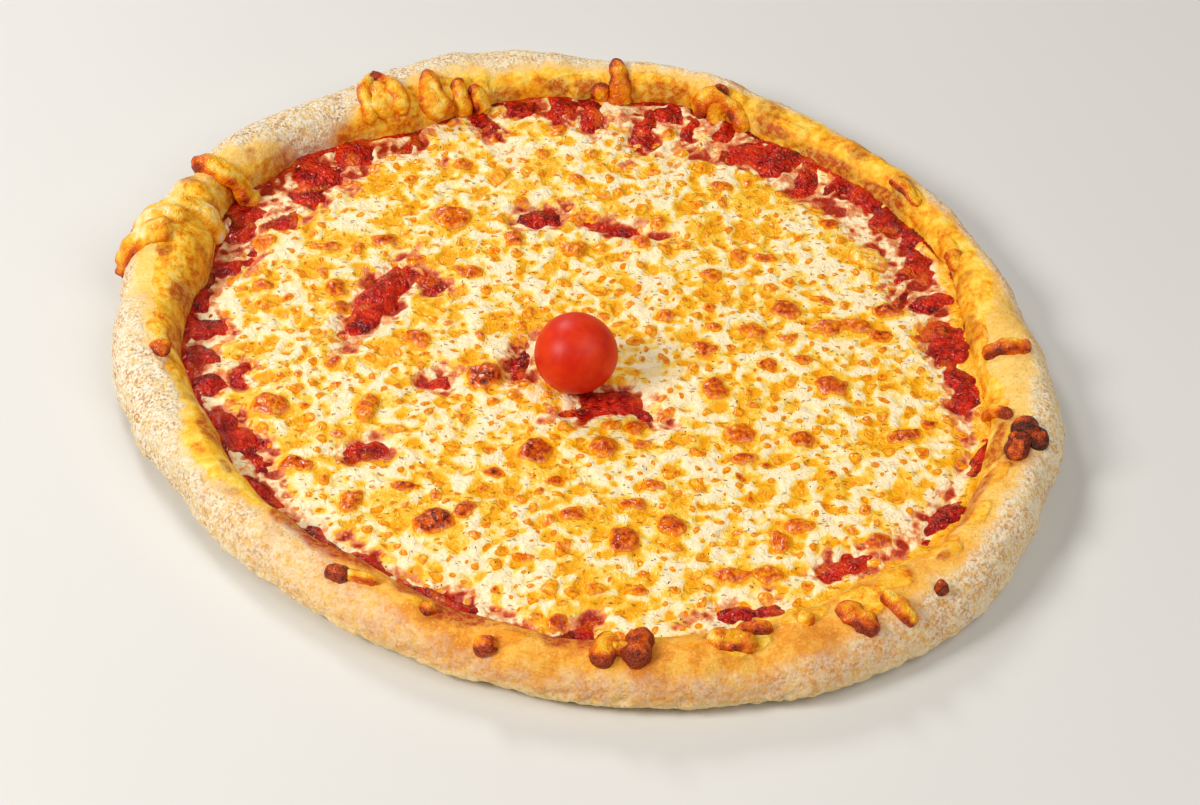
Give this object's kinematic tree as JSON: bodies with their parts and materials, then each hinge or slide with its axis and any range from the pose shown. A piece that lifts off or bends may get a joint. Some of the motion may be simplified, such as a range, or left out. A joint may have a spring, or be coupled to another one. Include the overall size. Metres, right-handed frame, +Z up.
{
  "type": "margherita pizza",
  "caption": "Whole baked margherita pizza with a floury raised rim, tomato sauce, browned melted cheese and a cherry tomato in the middle.",
  "frame": {"origin": "middle of the flat underside of the dough, the point from which the outline's radii are measured, on the surface it rests on", "axes": "+Z up through the pizza, its thickness; +X to the right and +Y away from the side that faces the viewer"},
  "size_m": [0.2938, 0.2907, 0.032],
  "materials": {
    "baked_dough": "matte baked dough, floury on its outer side and golden with oil on its inner side",
    "tomato_sauce": "wet dark red sauce with a soft shine",
    "melted_cheese": "oily melted cheese, cream to yellow with brown bubbles",
    "browned_cheese": "baked cheese, orange brown to dark brown, slightly shiny",
    "tomato_skin": "smooth glossy red tomato skin"
  },
  "bodies": {
    "root": {"baked_cheese_burnt_crumb": "browned_cheese", "baked_cheese_burnt_fold": "browned_cheese", "baked_cheese_front_cluster": "browned_cheese", "baked_cheese_front_knob": "browned_cheese", "baked_cheese_front_left_bead": "browned_cheese", "baked_cheese_left_blister": "browned_cheese", "baked_cheese_left_flap": "browned_cheese", "baked_cheese_left_tip": "browned_cheese", "baked_cheese_loop": "browned_cheese", "baked_cheese_lower_bead": "browned_cheese", "baked_cheese_lower_cluster": "browned_cheese", "baked_cheese_lower_left_knob": "browned_cheese", "baked_cheese_lower_right_pair": "browned_cheese", "baked_cheese_lower_right_strip": "browned_cheese", "baked_cheese_pointed_strand": "browned_cheese", "baked_cheese_right_ridge": "browned_cheese", "baked_cheese_right_strip": "browned_cheese", "baked_cheese_right_upper_knob": "browned_cheese", "baked_cheese_right_upper_patch": "browned_cheese", "baked_cheese_slanted_strand": "browned_cheese", "baked_cheese_slim_strand": "browned_cheese", "baked_cheese_small_ball": "browned_cheese", "baked_cheese_top_knob": "browned_cheese", "baked_cheese_upper_left_strand": "browned_cheese", "cheese": "melted_cheese", "cherry_tomato": "tomato_skin", "crust": "baked_dough", "sauce": "tomato_sauce"}
  },
  "joints": []
}
